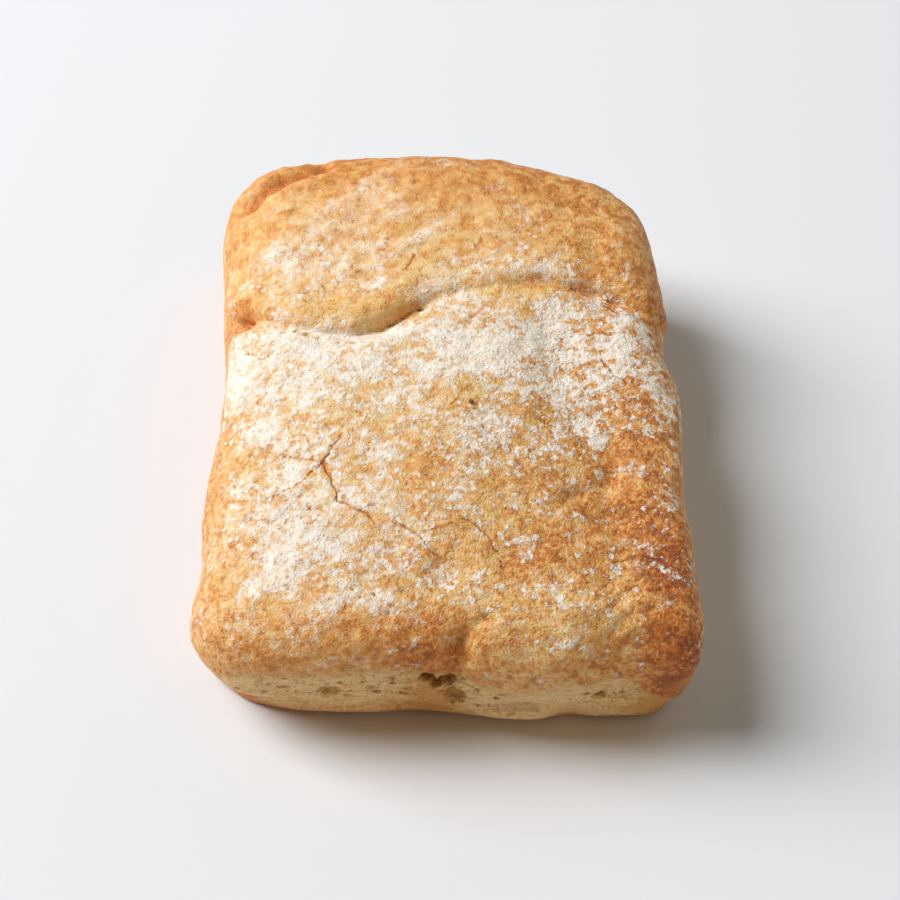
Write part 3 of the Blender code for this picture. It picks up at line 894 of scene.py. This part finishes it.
# Colours of the crust from palest to darkest baking, where it is golden and where it is more orange, of the
# bare crumb, and the dark brown that paints shade into cracks, pores and the crumb's dips.
GOLDEN_TONES = (
    (0.00, (0.86, 0.64, 0.30, 1.0)),
    (0.30, (0.80, 0.48, 0.135, 1.0)),
    (0.60, (0.66, 0.30, 0.05, 1.0)),
    (1.00, (0.36, 0.11, 0.012, 1.0)),
)
ORANGE_TONES = (
    (0.00, (0.86, 0.55, 0.26, 1.0)),
    (0.30, (0.79, 0.38, 0.11, 1.0)),
    (0.60, (0.62, 0.20, 0.032, 1.0)),
    (1.00, (0.30, 0.06, 0.008, 1.0)),
)
CRUMB_PALE = (1.0, 0.73, 0.36, 1.0)
CRUMB_DARK = (0.70, 0.34, 0.085, 1.0)
PAINTED_SHADE_BROWN = (0.44, 0.215, 0.045, 1.0)

# Sizes of the crust's mottling, from slow blotches to its dry grain, and of its orange patches. Sizes of the
# pale flecks, with how strongly each shows; the smallest are partly painted glints and partly flour specks.
# Sizes of the flour's clots and of its powder.
BLOTCH_SIZE, MOTTLE_SIZE, SPOT_SIZE, FINE_SIZE = 9.0, 2.4, 0.9, 0.35
ORANGE_PATCH_SIZE = 2.2
FLECK_AND_GLINT_SIZES = (0.34, 0.6, 1.3)
FLECK_AND_GLINT_WEIGHTS = (0.20, 0.20, 0.36)
CLOT_SIZE = 1.5
POWDER_SIZE = 0.5
CRUST_LUMP_SIZE = 0.9

# How much smoother the back is, and how much stronger the flour is on the right.
BACK_SMOOTHER = 0.55
RIGHT_STRONGER = 0.95

# Height of the crust's finest relief, and its finish: bare crust is smoother than flour.
CRUST_GRAIN_HEIGHT = 0.15
CRUST_ROUGHNESS = 0.55
FLOUR_ROUGHNESS = 0.90
CRUST_SPECULAR = 0.35


def position_in_millimetres(tree):
    """Object coordinates in millimetres."""
    metres = tree.nodes.new("ShaderNodeTexCoord").outputs["Object"]
    return vector_maths(tree, "SCALE", {0: metres, "Scale": 1 / MM})


def attribute(tree, name):
    """One of the numbers that the mesh carries at its points."""
    settings = {"attribute_type": "GEOMETRY", "attribute_name": name}
    return place(tree, "ShaderNodeAttribute", {}, **settings).outputs["Fac"]


def tone_ramp(tree, tone, stops):
    """A colour ramp through the given stops."""
    ramp_node = place(tree, "ShaderNodeValToRGB", {"Fac": tone})
    elements = ramp_node.color_ramp.elements
    elements[0].position, elements[0].color = stops[0]
    elements[1].position, elements[1].color = stops[-1]
    for where, colour in stops[1:-1]:
        elements.new(where).color = colour
    return ramp_node.outputs["Color"]


def baked_crust(powder, pale_flecks):
    """Thin dry crust, mottled from pale gold to orange brown, with bare crumb, and flour over the crust.

    Bake: the crust's baking, which in places is painted shade, plus noises of four sizes is looked up in the
    crust's tones, and a noise of a fifth size leads from the golden tones to the orange ones. Crumb: where
    the crumb attribute plus noise is high, pale to brown by the sum of three of those noises. Flour: the
    flour attribute, noises of two sizes and three sizes of pale fleck are added up; the smallest flecks are
    partly painted glints. A cream veil starts where the sum is a little below nothing, and it is white above
    it.
    Cracks, pores and the crumb's dips get a dark brown as painted shade. The back is smoother, and the right
    has stronger flour and mottling. The height of the finest relief is the sum of the smaller noises, the
    tiniest flecks and the heaped flour."""
    material = bpy.data.materials.new("baked_crust")
    material.use_nodes = True
    tree = material.node_tree
    shader = tree.nodes["Principled BSDF"]
    position = position_in_millimetres(tree)
    names = ("dust", "flour", "bake_and_shade", "crumb", "smooth", "clots", "hollow_shade")
    dust, flour, bake_and_shade, crumb, smooth, clots, hollow_shade = (attribute(tree, name) for name in names)
    coarse = total(tree, (smooth, -BACK_SMOOTHER), (1.0, 1.0))

    blotch = grain(tree, position, BLOTCH_SIZE, detail=2.0)
    mottle = grain(tree, position, MOTTLE_SIZE, detail=3.0, rough=0.6, distortion=0.5)
    spots = grain(tree, position, SPOT_SIZE, detail=2.0)
    fine = grain(tree, position, FINE_SIZE, detail=2.0, rough=0.6)
    orange_patch = grain(tree, position, ORANGE_PATCH_SIZE, detail=3.0, rough=0.65)
    hue = total(tree, (orange_patch, 1.0), (bake_and_shade, 0.8), (1.0, 0.12))
    uneven = maths(tree, "MULTIPLY", clots, total(tree, (mottle, 0.20), (spots, 0.18), (1.0, -0.18)))
    speckle = maths(tree, "MULTIPLY", coarse, total(tree, (spots, 0.42), (fine, 0.16), (1.0, -0.29)))
    mottled = total(tree, (blotch, 0.20), (mottle, 0.56), (speckle, 1.0), (uneven, 1.0), (1.0, -0.10))
    # Where the baking carries painted shade, it darkens the tones the same way.
    tone = maths(tree, "ADD", mottled, bake_and_shade)
    golden, orange = (tone_ramp(tree, tone, stops) for stops in (GOLDEN_TONES, ORANGE_TONES))
    crust = blend(tree, between(tree, hue, 0.2, 0.8), golden, orange)

    # The baking browns the crumb too; round its pores this is partly painted shade.
    crumb_mottle = total(tree, (mottle, 0.36), (spots, 0.32), (fine, 0.30), (bake_and_shade, 0.7))
    crumb_colour = blend(tree, between(tree, crumb_mottle, 0.48, 0.84), CRUMB_PALE, CRUMB_DARK)
    ragged_edge = total(tree, (crumb, 1.0), (mottle, 0.9), (spots, 0.6), (fine, 0.2))
    bare = between(tree, ragged_edge, 0.95, 1.95)
    baked = blend(tree, bare, crust, crumb_colour)

    # The smallest flecks, spread over all the crust, are partly painted glints and partly flour specks.
    tiny_specks_and_glints, small, large = (
        place(tree, "ShaderNodeGroup", {"Position": position, "Size": size}, node_tree=pale_flecks)
        for size in FLECK_AND_GLINT_SIZES
    )
    tree.links.new(total(tree, (mottle, 0.16), (1.0, 0.10)), tiny_specks_and_glints.inputs["Share"])
    tree.links.new(total(tree, (dust, 0.42), (mottle, 0.12), (1.0, 0.02)), small.inputs["Share"])
    tree.links.new(total(tree, (dust, 0.40), (blotch, 0.10), (1.0, -0.02)), large.inputs["Share"])

    clumped = grain(tree, position, CLOT_SIZE, detail=3.0, rough=0.6)
    powdery = grain(tree, position, POWDER_SIZE, detail=2.0, rough=0.7)
    clotted = maths(tree, "MULTIPLY", coarse, total(tree, (clumped, 0.74), (powdery, 0.22), (1.0, -0.48)))
    masks = [flecked.outputs["Mask"] for flecked in (tiny_specks_and_glints, small, large)]
    pale = maths(tree, "MULTIPLY", coarse, total(tree, *zip(masks, FLECK_AND_GLINT_WEIGHTS)))
    loose = total(tree, (flour, 1.0), (clotted, 1.0), (pale, 1.0), (1.0, -0.06))
    lying = maths(tree, "MULTIPLY", loose, total(tree, (clots, RIGHT_STRONGER), (1.0, 1.0)))
    veil = between(tree, lying, -0.32, 0.28)
    thick = between(tree, lying, -0.11, 0.24)
    powder_sockets = {"Position": position, "Lump Size": CRUST_LUMP_SIZE}
    powder_node = place(tree, "ShaderNodeGroup", powder_sockets, node_tree=powder)
    powder_colour = blend(tree, thick, FLOUR_CREAM, powder_node.outputs["Color"])
    covered = maths(tree, "MULTIPLY", veil, maths(tree, "SUBTRACT", 1.0, bare))
    floured = blend(tree, maths(tree, "MULTIPLY", covered, 0.9), baked, powder_colour)

    # Painted shade: a dark brown in cracks, pores and the crumb's dips.
    finished = blend(tree, maths(tree, "MULTIPLY", hollow_shade, 0.85), floured, PAINTED_SHADE_BROWN)
    tree.links.new(finished, shader.inputs["Base Color"])
    rough = total(tree, (fine, 0.75), (spots, 0.85), (mottle, 0.7), (tiny_specks_and_glints.outputs["Mask"], 0.35))
    heaped = maths(tree, "MULTIPLY", covered, total(tree, (clumped, 0.9), (powdery, 0.3), (fine, -0.25)))
    coarser = total(tree, (coarse, 1.0), (clots, 0.55), (bare, 0.9))
    height = maths(tree, "MULTIPLY", maths(tree, "ADD", rough, heaped), coarser)
    relief = {"Height": height, "Strength": 1.0, "Distance": CRUST_GRAIN_HEIGHT * MM}
    bump = place(tree, "ShaderNodeBump", relief)
    tree.links.new(bump.outputs["Normal"], shader.inputs["Normal"])
    roughness = total(tree, (covered, FLOUR_ROUGHNESS - CRUST_ROUGHNESS), (1.0, CRUST_ROUGHNESS))
    tree.links.new(roughness, shader.inputs["Roughness"])
    shader.inputs["Specular IOR Level"].default_value = CRUST_SPECULAR
    return material


powder_group = flour_powder()
loaf_mesh.materials.append(baked_crust(powder_group, flecks()))
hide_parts("loaf")
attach(loaf, "root")


# ---------------------------------------------------------------------------------------------------------
# The flour's clumps and loose grains: dry flour that was thrown on by hand before baking. It lies thickest
# below the fold, where the dough was floured most, and single grains cling to the rest of the crust.
# ---------------------------------------------------------------------------------------------------------

# Each kind: how many, its seed, smallest and largest radius, how flat it is, the least flour it lies on, and
# the rings and sides of its shape.
CLUMPS = {"count": 1100, "seed": 7, "radius": (0.10, 0.30), "flat": 0.35, "least": 0.05}
CLUMPS |= {"rings": 3, "sides": 6}
GRAINS = {"count": 9000, "seed": 19, "radius": (0.04, 0.11), "flat": 0.4, "least": -0.08}
GRAINS |= {"rings": 2, "sides": 5}

# How unevenly their points stand off, how much longer than wide they are, and how far they sink into the
# crust, as a share of their height.
LUMP_JITTER = 0.28
LUMP_STRETCH = (0.8, 1.5)
SUNK_SHARE = 0.2

# The powder on them: the size of its lumps, the height of its relief, and its dull finish.
LOOSE_LUMP_SIZE = 0.5
LOOSE_GRAIN_HEIGHT = 0.08
LOOSE_ROUGHNESS = 0.9
LOOSE_SPECULAR = 0.15


def lump_template(rings, sides):
    """A round lump: points by angle round it and angle down it, with a pole at each end, as triangles."""
    down = np.linspace(0, np.pi, rings + 1)[1:-1]
    turn = np.linspace(0, 2 * np.pi, sides, endpoint=False)
    ring = np.stack([np.cos(turn), np.sin(turn), np.zeros(sides)], axis=1)
    body = ring * np.sin(down)[:, None, None] + np.array((0, 0, 1)) * np.cos(down)[:, None, None]
    points = np.concatenate([[(0, 0, 1)], body.reshape(-1, 3), [(0, 0, -1)]])
    index = 1 + np.arange((rings - 1) * sides).reshape(rings - 1, sides)
    after = np.roll(index, -1, axis=1)
    last = len(points) - 1
    cap = np.stack([np.zeros(sides, int), index[0], after[0]], axis=1)
    foot = np.stack([np.full(sides, last), after[-1], index[-1]], axis=1)
    first = np.stack([index[:-1], index[1:], after[:-1]], axis=-1).reshape(-1, 3)
    second = np.stack([after[:-1], index[1:], after[1:]], axis=-1).reshape(-1, 3)
    return points, np.concatenate([cap, first, second, foot])


def scattered(kind):
    """Lumps spread over the loaf: triangles are drawn by area and flour, and a random point of each gets one
    lump, turned to the surface, jittered and sunk a little. Returns all points and triangles."""
    count = kind["count"]
    draw = np.random.default_rng(kind["seed"])
    triangles = np.empty(len(loaf_mesh.loop_triangles) * 3, np.int32)
    loaf_mesh.loop_triangles.foreach_get("vertices", triangles)
    ends = surface[triangles.reshape(-1, 3)]
    normal = np.cross(ends[:, 1] - ends[:, 0], ends[:, 2] - ends[:, 0])
    area = np.linalg.norm(normal, axis=1)
    flour = seen["flour"][triangles.reshape(-1, 3)].mean(axis=1)
    steep = ramp(normal[:, 2] / np.maximum(area, 1e-12), 0.25, 0.7)
    weight = area * steep * (ramp(flour, kind["least"] - 0.1, kind["least"] + 0.25) + 0.01)
    chosen = draw.choice(len(area), count, p=weight / weight.sum())
    share = draw.dirichlet((1, 1, 1), count)
    centre = np.einsum("nk,nkd->nd", share, ends[chosen])
    up = normal[chosen] / area[chosen, None]

    side = np.cross(up, draw.normal(size=(count, 3)))
    side /= np.linalg.norm(side, axis=1, keepdims=True)
    ahead = np.cross(up, side)
    small, large = kind["radius"]
    radius = small * (large / small) ** (draw.random(count) ** 2.0)
    points, faces = lump_template(kind["rings"], kind["sides"])
    jitter = 1 + LUMP_JITTER * draw.normal(size=(count, len(points), 1)).clip(-1.6, 1.6)
    stretch = draw.uniform(*LUMP_STRETCH, (count, 1, 1)) * (1, 0, 0) + (0, 1, kind["flat"])
    shape = np.einsum("nkd,nde->nke", points * jitter * stretch, np.stack([side, ahead, up], axis=1))
    sunk = centre - up * (SUNK_SHARE * radius * kind["flat"])[:, None]
    placed = sunk[:, None] + shape * radius[:, None, None]
    faces = faces + np.arange(count)[:, None, None] * len(points)
    return np.clip(placed.reshape(-1, 3), least, most), faces.reshape(-1, 3)


def loose_flour(powder):
    """Dry flour by itself: the powder's colour and height on a dull white lump."""
    material = bpy.data.materials.new("loose_flour")
    material.use_nodes = True
    tree = material.node_tree
    shader = tree.nodes["Principled BSDF"]
    sockets = {"Position": position_in_millimetres(tree), "Lump Size": LOOSE_LUMP_SIZE}
    group = place(tree, "ShaderNodeGroup", sockets, node_tree=powder)
    tree.links.new(group.outputs["Color"], shader.inputs["Base Color"])
    relief = {"Height": group.outputs["Height"], "Strength": 0.5, "Distance": LOOSE_GRAIN_HEIGHT * MM}
    bump = place(tree, "ShaderNodeBump", relief)
    tree.links.new(bump.outputs["Normal"], shader.inputs["Normal"])
    shader.inputs["Roughness"].default_value = LOOSE_ROUGHNESS
    shader.inputs["Specular IOR Level"].default_value = LOOSE_SPECULAR
    return material


flour_material = loose_flour(powder_group)
for name, kind in (("flour_clumps", CLUMPS), ("flour_grains", GRAINS)):
    points, faces = scattered(kind)
    mesh = bpy.data.meshes.new(name)
    mesh.from_pydata(points * MM, [], faces)
    mesh.shade_smooth()
    mesh.materials.append(flour_material)
    flour = bpy.data.objects.new(name, mesh)
    bpy.context.scene.collection.objects.link(flour)
    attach(flour, "root")


# ---------------------------------------------------------------------------------------------------------
# The stage: a plain pale floor, one broad soft lamp high on the left and a little behind, and soft light from
# the room on the right, from behind and low in front. The camera looks down on the front from 55 degrees.
# ---------------------------------------------------------------------------------------------------------

# The stage's sizes and places are in metres.
FLOOR_SIZE = 6.0
FLOOR_WHITE = (0.80, 0.80, 0.80, 1.0)
FLOOR_ROUGHNESS = 0.9
FLOOR_SPECULAR = 0.1
LAMP_TOWARDS = Vector((-0.95, 0.3, 1.0))
LAMP_DISTANCE = 2.2
LAMP_WIDTH = 0.99
LAMP_HEIGHT = 1.76
LAMP_POWER = 65.5
LAMP_COLOUR = (0.985, 1.0, 1.045)
LIGHT_FROM_BEHIND = (0.13, 0.30, 0.40)
LIGHT_FROM_THE_RIGHT = (0.66, 0.57, 0.43)
LOW_LIGHT_IN_FRONT = (1.15, 0.72, 0.34)
FRONT_LIGHT_LOWNESS = 4.0
PALE_ROOM = (0.84, 0.84, 0.85, 1.0)
CAMERA_ELEVATION = 55.0
CAMERA_DISTANCE = 0.436
CAMERA_ANGLE = 24.0
CAMERA_TARGET = Vector((0.00125, -0.0029, 0.015))


def look_at(thing, target):
    """Turns a lamp or a camera towards a place."""
    thing.rotation_mode = "QUATERNION"
    thing.rotation_quaternion = (target - thing.location).to_track_quat("-Z", "Y")


floor_mesh = bpy.data.meshes.new("floor")
half = FLOOR_SIZE / 2
floor_corners = [(-half, -half, 0), (half, -half, 0), (half, half, 0), (-half, half, 0)]
floor_mesh.from_pydata(floor_corners, [], [(0, 1, 2, 3)])
floor = bpy.data.objects.new("floor", floor_mesh)
bpy.context.scene.collection.objects.link(floor)
floor_material = bpy.data.materials.new("floor_white")
floor_material.use_nodes = True
floor_shader = floor_material.node_tree.nodes["Principled BSDF"]
floor_shader.inputs["Base Color"].default_value = FLOOR_WHITE
floor_shader.inputs["Roughness"].default_value = FLOOR_ROUGHNESS
floor_shader.inputs["Specular IOR Level"].default_value = FLOOR_SPECULAR
floor_mesh.materials.append(floor_material)

lamp_data = bpy.data.lights.new("broad_lamp", "AREA")
lamp_data.shape = "RECTANGLE"
lamp_data.size = LAMP_WIDTH
lamp_data.size_y = LAMP_HEIGHT
lamp_data.energy = LAMP_POWER
lamp_data.color = LAMP_COLOUR
lamp = bpy.data.objects.new("broad_lamp", lamp_data)
lamp.location = LAMP_TOWARDS.normalized() * LAMP_DISTANCE
look_at(lamp, Vector((0, 0, 0)))
bpy.context.scene.collection.objects.link(lamp)

# The room's light grows towards the back and towards the right, in proportion to the cosine of the direction.
# A warm light from low in front grows towards the front in the same way, and fades upwards by a power.
world = bpy.data.worlds.new("room")
world.use_nodes = True
room = world.node_tree
towards = room.nodes.new("ShaderNodeTexCoord").outputs["Generated"]
parts = place(room, "ShaderNodeSeparateXYZ", {"Vector": towards}).outputs
rightness = maths(room, "MAXIMUM", parts["X"], 0.0)
backness = maths(room, "MAXIMUM", parts["Y"], 0.0)
frontness = maths(room, "MAXIMUM", maths(room, "MULTIPLY", parts["Y"], -1.0), 0.0)
lowness = maths(room, "POWER", maths(room, "SUBTRACT", 1.0, parts["Z"]), FRONT_LIGHT_LOWNESS)
low_front = maths(room, "MULTIPLY", frontness, lowness)
back_light, right_light, front_light = (
    vector_maths(room, "SCALE", {0: colour, "Scale": amount})
    for colour, amount in (
        (LIGHT_FROM_BEHIND, backness),
        (LIGHT_FROM_THE_RIGHT, rightness),
        (LOW_LIGHT_IN_FRONT, low_front),
    )
)
room_light = vector_maths(room, "ADD", {0: back_light, 1: right_light})
room_light = vector_maths(room, "ADD", {0: room_light, 1: front_light})
seen_by_camera = room.nodes.new("ShaderNodeLightPath").outputs["Is Camera Ray"]
background = room.nodes["Background"]
room.links.new(blend(room, seen_by_camera, room_light, PALE_ROOM), background.inputs["Color"])
bpy.context.scene.world = world

camera_data = bpy.data.cameras.new("camera")
camera_data.lens_unit = "FOV"
camera_data.angle = np.radians(CAMERA_ANGLE)
camera = bpy.data.objects.new("camera", camera_data)
tilt = np.radians(CAMERA_ELEVATION)
camera.location = CAMERA_TARGET + CAMERA_DISTANCE * Vector((0, -np.cos(tilt), np.sin(tilt)))
look_at(camera, CAMERA_TARGET)
bpy.context.scene.collection.objects.link(camera)
bpy.context.scene.camera = camera
bpy.context.scene.view_settings.view_transform = "Standard"
